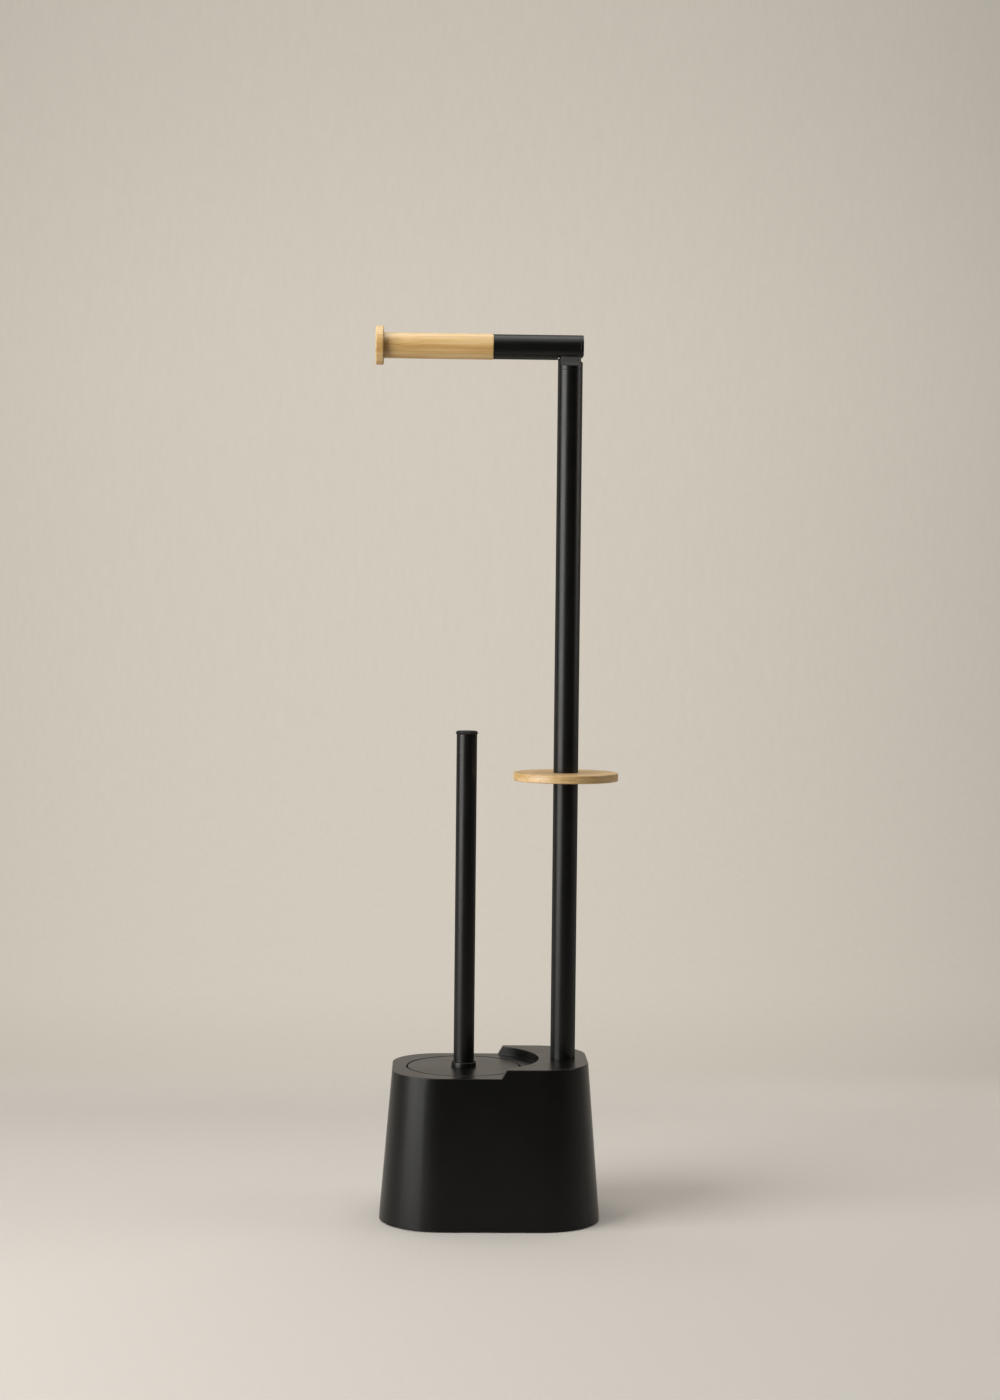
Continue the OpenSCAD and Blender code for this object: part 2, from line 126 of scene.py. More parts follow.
def level(piece):
    """Lets the large faces lead the shading, so that they stay flat beside their eased edges."""
    weigh = piece.modifiers.new("level", "WEIGHTED_NORMAL")
    weigh.keep_sharp = True
    return settle(piece)


FLAT = 0.4  # degrees: triangles that meet at less are one face
EASE_STEPS = 3


def eased(node, name, ease, material):
    """A copy of a CAD node with its hard edges rounded by so many mm."""
    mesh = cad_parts[node].data.copy()
    shape = bmesh.new()
    shape.from_mesh(mesh)
    bmesh.ops.remove_doubles(shape, verts=shape.verts, dist=WELD * MM)
    bmesh.ops.dissolve_limit(shape, angle_limit=math.radians(FLAT), verts=shape.verts, edges=shape.edges)
    shape.to_mesh(mesh)
    shape.free()
    piece = own(name, mesh, material)
    bevel = piece.modifiers.new("ease", "BEVEL")
    bevel.width = ease * MM
    bevel.segments = EASE_STEPS
    bevel.limit_method = "ANGLE"
    bevel.angle_limit = math.radians(CREASE)
    bevel.use_clamp_overlap = False
    settle(piece)
    return level(piece)


def fit(piece, body, slot, *nodes):
    """Hangs a piece on its body and lets it stand for its CAD nodes."""
    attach(piece, body)
    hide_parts(*nodes)


def new_tree(name, **inputs):
    """An empty Geometry Nodes tree with named inputs: the tree and its input node's outputs."""
    tree = bpy.data.node_groups.new(name, "GeometryNodeTree")
    tree.interface.new_socket("Geometry", in_out="OUTPUT", socket_type="NodeSocketGeometry")
    for label, kind in inputs.items():
        tree.interface.new_socket(label.replace("_", " "), in_out="INPUT", socket_type="NodeSocket" + kind)
    return tree, put(tree, "NodeGroupInput").outputs


def close_tree(tree, shape, material):
    """Ends a tree: instances become real and take the material."""
    real = put(tree, "GeometryNodeRealizeInstances", {0: shape})
    dressed = put(tree, "GeometryNodeSetMaterial", {"Geometry": real, "Material": material})
    put(tree, "NodeGroupOutput", {"Geometry": dressed})


def grown(name, tree, material, mesh=None, smooth=CREASE, **sizes):
    """The plain mesh that a tree makes from its named sizes."""
    carrier = bpy.data.objects.new(name, mesh or bpy.data.meshes.new(name))
    bpy.context.scene.collection.objects.link(carrier)
    modifier = carrier.modifiers.new(name, "NODES")
    modifier.node_group = tree
    for item in tree.interface.items_tree:
        key = item.name.replace(" ", "_")
        if item.in_out == "INPUT" and key in sizes:
            modifier[item.identifier] = sizes[key]
    settle(carrier)
    made = carrier.data
    bpy.data.objects.remove(carrier)
    return own(name, made, material, smooth)


# EVA foam: dull near-black with a skin of closed cells about 1 mm wide, which scatters a soft grey light
eva_foam, tree, shader = finish("EVA foam sheet", Roughness=0.82, IOR=1.48)
speck = put(tree, "ShaderNodeTexVoronoi", {"Vector": place_of(tree), "Scale": 900})
toned(tree, shader, speck.outputs["Distance"], "#232322", "#313130")
grain(tree, shader, 0.8, 0.08)

NUB_RISE = 0.5
NUB_RADIUS = 2
NUB_PITCH = 7
NUB_COLUMNS, NUB_ROWS = 24, 19
CORNER_X, CORNER_Y = 39.5, 19.2  # where the foot's rounded corners have their centres
PAD_REACH = 40.5  # from there to the outermost nubs
POLE_X = 59
KEY_ROOM = 13  # nubs keep this far from the middle of the key's hole
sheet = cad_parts["foot_pad"].data.copy()
shape = bmesh.new()
shape.from_mesh(sheet)
bmesh.ops.remove_doubles(shape, verts=shape.verts, dist=WELD * MM)
for vertex in shape.verts:
    vertex.co.z = max(vertex.co.z, NUB_RISE * MM)
shape.to_mesh(sheet)
shape.free()

tree, size = new_tree("grip nubs", Geometry="Geometry", Pitch="Float", Columns="Int", Rows="Int",
                      Nub_Radius="Float", Rise="Float", Corner_X="Float", Corner_Y="Float", Reach="Float",
                      Hole_X="Float", Hole_Radius="Float")
wide = put(tree, "ShaderNodeMath", {0: size["Pitch"], 1: size["Columns"]}, operation="MULTIPLY")
deep = put(tree, "ShaderNodeMath", {0: size["Pitch"], 1: size["Rows"]}, operation="MULTIPLY")
grid = put(tree, "GeometryNodeMeshGrid",
           {"Size X": wide, "Size Y": deep, "Vertices X": size["Columns"], "Vertices Y": size["Rows"]})
spot = put(tree, "GeometryNodeInputPosition")
inward = put(tree, "ShaderNodeVectorMath", {0: spot}, operation="ABSOLUTE")
corner = put(tree, "ShaderNodeCombineXYZ", {0: size["Corner X"], 1: size["Corner Y"]})
past = put(tree, "ShaderNodeVectorMath", {0: inward, 1: corner}, operation="SUBTRACT")
past = put(tree, "ShaderNodeVectorMath", {0: past, 1: (0, 0, 0)}, operation="MAXIMUM")
past = put(tree, "ShaderNodeVectorMath", {0: past}, operation="LENGTH").outputs["Value"]
outside = put(tree, "ShaderNodeMath", {0: past, 1: size["Reach"]}, operation="GREATER_THAN")
hole = put(tree, "ShaderNodeCombineXYZ", {0: size["Hole X"]})
near = put(tree, "ShaderNodeVectorMath", {0: spot, 1: hole}, operation="DISTANCE").outputs["Value"]
in_hole = put(tree, "ShaderNodeMath", {0: near, 1: size["Hole Radius"]}, operation="LESS_THAN")
drop = put(tree, "ShaderNodeMath", {0: outside, 1: in_hole}, operation="MAXIMUM")
kept = put(tree, "GeometryNodeDeleteGeometry", {0: grid, 1: drop}, domain="POINT")
ball = put(tree, "GeometryNodeMeshUVSphere", {"Segments": 10, "Rings": 6, "Radius": size["Nub Radius"]})
low = put(tree, "ShaderNodeMath", {0: size["Rise"], 1: size["Nub Radius"]}, operation="DIVIDE")
squat = put(tree, "ShaderNodeCombineXYZ", {0: 1.0, 1: 1.0, 2: low})
lift = put(tree, "ShaderNodeCombineXYZ", {2: size["Rise"]})
ball = put(tree, "GeometryNodeTransform", {"Geometry": ball, "Scale": squat, "Translation": lift})
nubs = put(tree, "GeometryNodeInstanceOnPoints", {"Points": kept, "Instance": ball})
both = put(tree, "GeometryNodeJoinGeometry", {0: nubs})
tree.links.new(size["Geometry"], both.inputs[0])
close_tree(tree, both, eva_foam)
foot_pad = grown("grip_pad", tree, eva_foam, mesh=sheet, Pitch=NUB_PITCH * MM, Columns=NUB_COLUMNS,
                 Rows=NUB_ROWS, Nub_Radius=NUB_RADIUS * MM, Rise=NUB_RISE * MM, Corner_X=CORNER_X * MM,
                 Corner_Y=CORNER_Y * MM, Reach=PAD_REACH * MM, Hole_X=POLE_X * MM,
                 Hole_Radius=KEY_ROOM * MM)
fit(foot_pad, "stand", "rubber", "foot_pad")

# Bottom cover: a moulded polypropylene plate let into the shell's lower edge, held up by four screws.
# It carries the iron weight and takes the pull of the pole bolt.
# Black polypropylene: dull and a little waxy, with a fine moulded grain.
cover_plastic, tree, shader = finish("Moulded polypropylene, black", Base_Color=linear("#1d1d1c"),
                                     Roughness=0.52, IOR=1.49)
grain(tree, shader, 1.2, 0.03)
cover = eased("base_plate", "bottom_cover", 0.3, cover_plastic)
fit(cover, "stand", "shell_plastic", "base_plate")

# Cover screws: four countersunk screws, zinc-plated, with a cross recess, driven up into the shell's posts.
# Zinc plate: pale blue-grey metal, a little cloudy, so its glints are soft.
zinc_steel, tree, shader = finish("Zinc-plated steel", Metallic=1.0)
cloud = put(tree, "ShaderNodeTexNoise", {"Vector": place_of(tree), "Scale": 260, "Detail": 4})
toned(tree, shader, cloud, "#9a9ca0", "#c3c5c8")
rub = put(tree, "ShaderNodeMapRange", {"Value": cloud, "To Min": 0.26, "To Max": 0.44})
tree.links.new(rub.outputs[0], shader.inputs["Roughness"])

tree, size = new_tree("cover screws", Head_Radius="Float", Head_Height="Float", Shank_Radius="Float",
                      Length="Float", Recess_Width="Float", Recess_Depth="Float", Spacing_X="Float",
                      Spacing_Y="Float", Height="Float")
head = put(tree, "GeometryNodeMeshCone", {"Vertices": 32, "Radius Bottom": size["Head Radius"],
                                          "Radius Top": size["Shank Radius"], "Depth": size["Head Height"]})
shank = put(tree, "GeometryNodeMeshCylinder",
            {"Vertices": 24, "Radius": size["Shank Radius"], "Depth": size["Length"]})
half = put(tree, "ShaderNodeMath", {0: size["Length"], 1: 0.5}, operation="MULTIPLY")
raised = put(tree, "ShaderNodeCombineXYZ", {2: half})
shank = put(tree, "GeometryNodeTransform", {"Geometry": shank, "Translation": raised})
whole = put(tree, "GeometryNodeMeshBoolean", operation="UNION", solver="EXACT")
tree.links.new(head.outputs[0], whole.inputs["Mesh 2"])
tree.links.new(shank.outputs[0], whole.inputs["Mesh 2"])
reach = put(tree, "ShaderNodeMath", {0: size["Shank Radius"], 1: 2.6}, operation="MULTIPLY")
depth = put(tree, "ShaderNodeMath", {0: size["Recess Depth"], 1: 2.0}, operation="MULTIPLY")
for along, across in ((reach, size["Recess Width"]), (size["Recess Width"], reach)):
    slot = put(tree, "ShaderNodeCombineXYZ", {0: along, 1: across, 2: depth})
    slot = put(tree, "GeometryNodeMeshCube", {"Size": slot})
    cut = put(tree, "GeometryNodeMeshBoolean", {"Mesh 1": whole}, operation="DIFFERENCE", solver="EXACT")
    tree.links.new(slot.outputs[0], cut.inputs["Mesh 2"])
    whole = cut
posts = put(tree, "GeometryNodeMeshGrid",
            {"Size X": size["Spacing X"], "Size Y": size["Spacing Y"], "Vertices X": 2, "Vertices Y": 2})
up = put(tree, "ShaderNodeCombineXYZ", {2: size["Height"]})
posts = put(tree, "GeometryNodeTransform", {"Geometry": posts, "Translation": up})
row = put(tree, "GeometryNodeInstanceOnPoints", {"Points": posts, "Instance": whole})
close_tree(tree, row, zinc_steel)
screws = grown("cover_screws", tree, zinc_steel, Head_Radius=2.9 * MM, Head_Height=1.6 * MM,
               Shank_Radius=1.48 * MM, Length=12 * MM, Recess_Width=0.75 * MM, Recess_Depth=0.9 * MM,
               Spacing_X=122 * MM, Spacing_Y=83 * MM, Height=2 * MM)
fit(screws, "stand", "steel", "base_plate_screws")

# Weight: a grey iron casting that keeps the tall stand upright, cored for the pole bolt and the pole's foot.
# Cast iron: dark grey with a sandy skin of about 0.7 mm grit and a few rust-brown blushes.
cast_iron, tree, shader = finish("Sand-cast grey iron", Metallic=0.7, Roughness=0.68)
skin = put(tree, "ShaderNodeTexNoise", {"Vector": place_of(tree), "Scale": 90, "Detail": 6})
stops = toned(tree, shader, skin, "#4a3c33", "#4b4c4e")
stops[0].position, stops[1].position = 0.35, 0.6
grain(tree, shader, 0.7, 0.15)
weight = eased("ballast_weight", "iron_weight", 1.2, cast_iron)
fit(weight, "stand", "cast_iron", "ballast_weight")

# Base shell: one ABS moulding with leaning walls, a low deck round the brush and a raised one round the pole.
# The step between the decks slopes, and a round scoop in it lets the fingers under the lid's rim.
# ABS from an eroded mould: deep warm black. Its satin grain, drawn 1 mm wide to show, spreads each glint.
shell_abs, tree, shader = finish("Moulded ABS, satin grain", IOR=1.52, Specular_IOR_Level=0.24)
wear = put(tree, "ShaderNodeTexNoise",
           {"Vector": place_of(tree), "Scale": 24, "Detail": 5, "Roughness": 0.65})
matt = put(tree, "ShaderNodeMapRange",
           {"Value": wear, "From Min": 0.3, "From Max": 0.7, "To Min": 0.29, "To Max": 0.35})
tree.links.new(matt.outputs[0], shader.inputs["Roughness"])
toned(tree, shader, wear, "#040403", "#080807")
grain(tree, shader, 1.0, 0.012)
base_shell = eased("base_shell", "base_housing", 0.35, shell_abs)
fit(base_shell, "stand", "shell_plastic", "base_shell")

# Pole bolt and washer: a socket screw from below, through cover and weight, that pulls the pole down tight.
# Its socket shows through the hole in the pad. The washer is a plain zinc-plated one.


def dress(material, *nodes):
    """Gives CAD nodes whose shape is right their finish."""
    for node in nodes:
        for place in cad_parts[node].material_slots:
            place.material = material


bolt = eased("pole_bolt", "socket_bolt", 0.35, zinc_steel)
fit(bolt, "stand", "steel", "pole_bolt")
dress(zinc_steel, "pole_bolt_washer", "joining_stud", "bar_stud")

# Tube plugs: turned aluminium, pressed into the tube ends and tapped for the bolt and the studs.
# Turned aluminium: bright grey, with fine tool rings (drawn 1.2 mm apart so that they show) round the bore.
plug_alloy, tree, shader = finish("Turned aluminium", Base_Color=linear("#8c8d90"), Metallic=1.0,
                                  Roughness=0.34)
rings = put(tree, "ShaderNodeTexWave", {"Vector": place_of(tree), "Scale": 260, "Distortion": 0.4},
            bands_direction="Z")
bump = put(tree, "ShaderNodeBump", {"Height": rings, "Strength": 0.4, "Distance": 0.02 * MM})
tree.links.new(bump.outputs[0], shader.inputs["Normal"])
dress(plug_alloy, "pole_foot_plug", "lower_pole_top_plug", "upper_pole_bottom_plug", "arm_end_plug",
      "handle_bottom_plug")

# Pole: two drawn steel tubes with the bamboo disc clamped between them, powder-coated satin black.
# Powder coat: even black with a soft orange peel 2.5 mm wide, which calms its glints and dulls it edge-on.


def dulled(tree, matt, most):
    """Roughness that grows by up to most where a skin of fine bumps is seen edge-on."""
    edge_on = put(tree, "ShaderNodeLayerWeight", {"Blend": 0.5}).outputs["Facing"]
    extra = put(tree, "ShaderNodeMapRange",
                {"Value": edge_on, "From Min": 0.4, "From Max": 0.8, "To Max": most})
    return put(tree, "ShaderNodeMath", {0: matt, 1: extra}, operation="ADD").outputs[0]


powder_coat, tree, shader = finish("Satin black powder coat", IOR=1.5, Specular_IOR_Level=0.3)
flow = put(tree, "ShaderNodeTexNoise", {"Vector": place_of(tree), "Scale": 45, "Detail": 3})
matt = put(tree, "ShaderNodeMapRange",
           {"Value": flow, "From Min": 0.3, "From Max": 0.7, "To Min": 0.30, "To Max": 0.36})
tree.links.new(dulled(tree, matt, 0.5), shader.inputs["Roughness"])
toned(tree, shader, flow, "#090908", "#0c0c0a")
grain(tree, shader, 2.5, 0.0007)

POLE_RADIUS = 10
POLE_WALL = 1.2
POLE_LOW = 32.5
DISC_LOW = 353.8
DISC_TOP = 360
POLE_TOP = 685
RIM_EASE = 0.25
ROUND_STEPS = 96
tree, size = new_tree("drawn tube", Radius="Float", Wall="Float", Length="Float", Edge="Float", Steps="Int")
half_wall = put(tree, "ShaderNodeMath", {0: size["Wall"], 1: 0.5}, operation="MULTIPLY")
middle = put(tree, "ShaderNodeMath", {0: size["Radius"], 1: half_wall}, operation="SUBTRACT")
section = put(tree, "GeometryNodeCurvePrimitiveQuadrilateral",
              {"Width": size["Wall"], "Height": size["Length"]})
section = put(tree, "GeometryNodeFilletCurve", {"Curve": section, "Radius": size["Edge"], "Count": 3},
              mode="POLY")
circle = put(tree, "GeometryNodeCurvePrimitiveCircle", {"Resolution": size["Steps"], "Radius": middle})
tube = put(tree, "GeometryNodeCurveToMesh", {"Curve": circle, "Profile Curve": section})
half_long = put(tree, "ShaderNodeMath", {0: size["Length"], 1: 0.5}, operation="MULTIPLY")
raised = put(tree, "ShaderNodeCombineXYZ", {2: half_long})
tube = put(tree, "GeometryNodeTransform", {"Geometry": tube, "Translation": raised})
close_tree(tree, tube, powder_coat)
tube_tree = tree


def tube_at(name, x, low, high, radius, wall):
    """An upright tube from one height to another, in mm, with its rims eased."""
    piece = grown(name, tube_tree, powder_coat, Radius=radius * MM, Wall=wall * MM, Length=(high - low) * MM,
                  Edge=RIM_EASE * MM, Steps=ROUND_STEPS)
    piece.data.transform(Matrix.Translation((x * MM, 0, low * MM)))
    shape = bmesh.new()
    shape.from_mesh(piece.data)
    bmesh.ops.recalc_face_normals(shape, faces=shape.faces)
    shape.to_mesh(piece.data)
    shape.free()
    return level(piece)


lower_pole = tube_at("lower_pole_tube", POLE_X, POLE_LOW, DISC_LOW, POLE_RADIUS, POLE_WALL)
fit(lower_pole, "stand", "black_metal", "lower_pole")
upper_pole = tube_at("upper_pole_tube", POLE_X, DISC_TOP, POLE_TOP, POLE_RADIUS, POLE_WALL)
fit(upper_pole, "stand", "black_metal", "upper_pole")

# Spare roll disc: a round of laminated bamboo board, turned with softened rims and clear lacquered.
# Bamboo: straw to honey, with long fibres (drawn 1 mm wide to show) and strips that differ a little in tone.
DRIFT = (9, 30, 30)  # cells a metre along X, Y and Z, here and in the next two
FIBRES = (14, 620, 900)
FIGURE = (11, 120, 260)
GRAIN_SWAY = 2.4  # mm
KNOT_FADE = (95, 0, 300)  # how fast it fades along X, Y and Z
KNOT_PUSH = 3.2  # mm


def bamboo(name, centre, strip, layer, tones, ends, knot=None):
    """Bamboo with its grain along X: strips in Y and Z in mm, and a knot at a place in mm where one shows.

    Its cut ends drink more lacquer and are darker by the factor ends.
    """
    material, tree, shader = finish(name, IOR=1.5, Coat_Weight=0.3, Coat_Roughness=0.28)
    here = place_of(tree, centre)
    part = put(tree, "ShaderNodeSeparateXYZ", {0: here})
    bent = part.outputs["Z"]
    if knot:
        off = put(tree, "ShaderNodeVectorMath", {0: here, 1: [-k * MM for k in knot]}, operation="ADD")
        off = put(tree, "ShaderNodeVectorMath", {0: off, 1: KNOT_FADE}, operation="MULTIPLY")
        far = put(tree, "ShaderNodeVectorMath", {0: off, 1: off}, operation="DOT_PRODUCT").outputs["Value"]
        far = put(tree, "ShaderNodeMath", {0: far, 1: -1.0}, operation="MULTIPLY")
        swell = put(tree, "ShaderNodeMath", {0: far}, operation="EXPONENT")
        push = put(tree, "ShaderNodeMath", {0: swell, 1: KNOT_PUSH * MM}, operation="MULTIPLY")
        bent = put(tree, "ShaderNodeMath", {0: bent, 1: push}, operation="ADD").outputs[0]
    slow = put(tree, "ShaderNodeVectorMath", {0: here, 1: DRIFT}, operation="MULTIPLY")
    drift = put(tree, "ShaderNodeTexNoise", {"Vector": slow, "Scale": 1.0, "Detail": 2})
    sway = put(tree, "ShaderNodeMapRange",
               {"Value": drift, "To Min": -GRAIN_SWAY * MM, "To Max": GRAIN_SWAY * MM})
    bent = put(tree, "ShaderNodeMath", {0: bent, 1: sway}, operation="ADD")
    warped = put(tree, "ShaderNodeCombineXYZ", {0: part.outputs["X"], 1: part.outputs["Y"], 2: bent})
    fine = put(tree, "ShaderNodeVectorMath", {0: warped, 1: FIBRES}, operation="MULTIPLY")
    fibre = put(tree, "ShaderNodeTexNoise", {"Vector": fine, "Scale": 1.0, "Detail": 3, "Roughness": 0.6})
    broad = put(tree, "ShaderNodeVectorMath", {0: warped, 1: FIGURE}, operation="MULTIPLY")
    figure = put(tree, "ShaderNodeTexNoise", {"Vector": broad, "Scale": 1.0, "Detail": 2})
    column = put(tree, "ShaderNodeMath", {0: part.outputs["Y"], 1: strip * MM}, operation="DIVIDE")
    course = put(tree, "ShaderNodeMath", {0: part.outputs["Z"], 1: layer * MM}, operation="DIVIDE")
    column_no = put(tree, "ShaderNodeMath", {0: column}, operation="FLOOR")
    course_no = put(tree, "ShaderNodeMath", {0: course}, operation="FLOOR")
    which = put(tree, "ShaderNodeCombineXYZ", {0: column_no, 1: course_no})
    piecewise = put(tree, "ShaderNodeTexWhiteNoise", {"Vector": which}).outputs["Value"]
    within = put(tree, "ShaderNodeMath", {0: course}, operation="FRACT")
    glue = put(tree, "ShaderNodeMath", {0: within, 1: 0.06}, operation="LESS_THAN")
    # Fibres, broad figure, each strip's own tone and a thin dark glue line are weighed together.
    mixed = put(tree, "ShaderNodeMath", {0: fibre, 1: 0.42}, operation="MULTIPLY")
    mixed = put(tree, "ShaderNodeMath", {0: figure, 1: 0.46, 2: mixed}, operation="MULTIPLY_ADD")
    mixed = put(tree, "ShaderNodeMath", {0: piecewise, 1: 0.16, 2: mixed}, operation="MULTIPLY_ADD")
    mixed = put(tree, "ShaderNodeMath", {0: glue, 1: -0.10, 2: mixed}, operation="MULTIPLY_ADD")
    ramp = put(tree, "ShaderNodeValToRGB", {0: mixed})
    ramp.color_ramp.elements[0].position = 0.36
    ramp.color_ramp.elements[0].color = linear(tones[0])
    ramp.color_ramp.elements[1].position = 0.68
    ramp.color_ramp.elements[1].color = linear(tones[2])
    ramp.color_ramp.elements.new(0.5).color = linear(tones[1])
    facing = put(tree, "ShaderNodeSeparateXYZ", {0: put(tree, "ShaderNodeTexCoord").outputs["Normal"]})
    endwise = put(tree, "ShaderNodeMath", {0: facing.outputs["X"]}, operation="ABSOLUTE")
    darker = put(tree, "ShaderNodeMapRange",
                 {"Value": endwise, "From Min": 0.96, "To Min": 1.0, "To Max": ends})
    tone = put(tree, "ShaderNodeVectorMath", {0: ramp, "Scale": darker}, operation="SCALE")
    tree.links.new(tone.outputs[0], shader.inputs["Base Color"])
    matt = put(tree, "ShaderNodeMapRange", {"Value": fibre, "To Min": 0.40, "To Max": 0.52})
    tree.links.new(dulled(tree, matt, 0.4), shader.inputs["Roughness"])
    bump = put(tree, "ShaderNodeBump", {"Height": fibre, "Distance": 0.01 * MM})
    tree.links.new(bump.outputs[0], shader.inputs["Normal"])
    return material


CORNER_STEPS = 4


def rounded(outline):
    """An outline of (radius, height, rounding) points in mm with its corners rounded."""
    points = []
    count = len(outline)
    for i, corner in enumerate(outline):
        here = Vector(corner[:2])
        ease = corner[2] if len(corner) > 2 else 0
        if not ease:
            points.append(here)
            continue
        back = (Vector(outline[i - 1][:2]) - here).normalized()
        ahead = (Vector(outline[(i + 1) % count][:2]) - here).normalized()
        half = back.angle(ahead) / 2
        run = ease / math.tan(half)
        centre = here + (back + ahead).normalized() * (ease / math.sin(half))
        start, end = here + back * run - centre, here + ahead * run - centre
        for k in range(CORNER_STEPS + 1):
            points.append(centre + start.slerp(end, k / CORNER_STEPS))
    return points


PIN_Z = 703


def turned(name, outline, material, x, along_x=False, steps=ROUND_STEPS):
    """A turned piece round an upright axis at x, or round the arm's axis from x on. Sizes are in mm."""
    shape = bmesh.new()
    rings = []
    for r, h in rounded(outline):
        if r < 0.001:
            rings.append([shape.verts.new((0, 0, h * MM))])
            continue
        angles = (math.tau * k / steps for k in range(steps))
        rings.append([shape.verts.new((r * MM * math.cos(a), r * MM * math.sin(a), h * MM)) for a in angles])
    open_ended = len(rings[0]) == 1
    pairs = list(zip(rings, rings[1:])) + ([] if open_ended else [(rings[-1], rings[0])])
    for low, high in pairs:
        for k in range(steps):
            n = (k + 1) % steps
            corners = [low[k % len(low)], low[n % len(low)], high[n % len(high)], high[k % len(high)]]
            corners = [v for i, v in enumerate(corners) if v not in corners[:i]]
            if len(corners) > 2:
                shape.faces.new(corners)
    bmesh.ops.recalc_face_normals(shape, faces=shape.faces)
    mesh = bpy.data.meshes.new(name)
    shape.to_mesh(mesh)
    shape.free()
    if along_x:
        mesh.transform(Matrix.Rotation(math.pi / 2, 4, "Y"))
    mesh.transform(Matrix.Translation((x * MM, 0, PIN_Z * MM if along_x else 0)))
    return level(own(name, mesh, material))


board_bamboo = bamboo("Laminated bamboo board", (POLE_X, 0, DISC_TOP), strip=14, layer=2.05,
                      tones=("#9f7c4a", "#b49360", "#c4a679"), ends=0.96)
DISC_RADIUS = 42.25
DISC_BORE = 5.1
DISC_EASE = 0.8
WIDE_STEPS = 144
disc = turned("spare_roll_shelf", [(DISC_BORE, DISC_LOW), (DISC_RADIUS, DISC_LOW, DISC_EASE),
                                   (DISC_RADIUS, DISC_TOP, DISC_EASE), (DISC_BORE, DISC_TOP)],
              board_bamboo, POLE_X, steps=WIDE_STEPS)
fit(disc, "stand", "bamboo", "spare_roll_disc")

# Knuckle: a die-cast cap pressed into the pole, with a flat tang that stands in the slot of the arm's fork.
# Its left shoulder holds the arm level, the cut-away right one lets it swing up. Both castings are coated.
# Tang flats: duller than the coat, and painted a paler grey that stands in for the light they catch: painted
# light.
pale_flats_painted_light, tree, shader = finish("Zinc flats, painted pale for light", IOR=1.5)
tree.links.new(dulled(tree, 0.5, 0.4), shader.inputs["Roughness"])
skin = put(tree, "ShaderNodeTexNoise", {"Vector": place_of(tree), "Scale": 160, "Detail": 4})
toned(tree, shader, skin, "#383836", "#434341")
grain(tree, shader, 1.2, 0.01)
CAST_EASE = 0.25
PALE_FLATS_RADIUS = 9.5  # the flats inside this radius take the paler grey of painted light
PALE_FLATS_LOW = PIN_Z - 15.05
knuckle = eased("knuckle_cap", "pole_knuckle", CAST_EASE, powder_coat)
# The tang's flats take the paler grey, painted light for the light they catch.
knuckle.data.materials.append(pale_flats_painted_light)
for face in knuckle.data.polygons:
    beside = math.hypot(face.center.x / MM - POLE_X, face.center.y / MM)
    if beside < PALE_FLATS_RADIUS and face.center.z / MM > PALE_FLATS_LOW and face.normal.z < 0.97:
        face.material_index = 1
fit(knuckle, "stand", "black_metal", "knuckle_cap")
fork = eased("arm_fork", "arm_knuckle_fork", CAST_EASE, powder_coat)
fit(fork, "arm", "black_metal", "arm_fork")
arm = eased("arm_tube", "arm_sleeve", 0.22, powder_coat)
fit(arm, "arm", "black_metal", "arm_tube")

# Hinge pin and washers: a ground steel pin through fork and tang, and two acetal washers beside the tang.
# Acetal: milky white, waxy and slippery, so the arm turns without a squeak.
acetal, tree, shader = finish("Acetal, punched", Base_Color=linear("#e6e3da"), Roughness=0.38, IOR=1.48)
grain(tree, shader, 0.9, 0.01)
dress(acetal, "hinge_washers")
dress(zinc_steel, "hinge_pin")

# Roll bar and end disc: turned bamboo, lacquered, screwed on the arm's stud and closed by a disc on a dowel.
# The bar is one split of the culm: long straight fibres and one small eye where a shoot was trimmed.
BAR_LEFT = -91.4
BAR_LONG = 87.8
BAR_RADIUS = 9.75
DOWEL_BORE, DOWEL_DEPTH = 4.02, 18.3
STUD_BORE, STUD_START = 3.02, 63.5
rod_bamboo = bamboo("Turned bamboo", (-47, 0, PIN_Z), strip=40, layer=6.9,
                    tones=("#b58d51", "#cca86e", "#d9c194"), ends=0.74, knot=(-26, -9, 2.5))
bar = turned("bamboo_bar", [(0, DOWEL_DEPTH), (DOWEL_BORE, DOWEL_DEPTH), (DOWEL_BORE, 0),
                            (BAR_RADIUS, 0, 0.5), (BAR_RADIUS, BAR_LONG, 0.35), (STUD_BORE, BAR_LONG),
                            (STUD_BORE, STUD_START), (0, STUD_START)], rod_bamboo, BAR_LEFT, along_x=True)
fit(bar, "arm", "bamboo", "roll_bar")
STOP_RADIUS = 15.5
STOP_THICK = 6.2
STOP_FLOOR = 2.3  # what the dowel's bore leaves of the thickness
stop = turned("bamboo_end_disc", [(0, 0), (STOP_RADIUS, 0, 0.9), (STOP_RADIUS, STOP_THICK, 0.9),
                                  (DOWEL_BORE, STOP_THICK), (DOWEL_BORE, STOP_FLOOR), (0, STOP_FLOOR)],
              rod_bamboo, BAR_LEFT - STOP_THICK, along_x=True)
fit(stop, "arm", "bamboo", "end_disc")
dress(rod_bamboo, "end_disc_dowel")

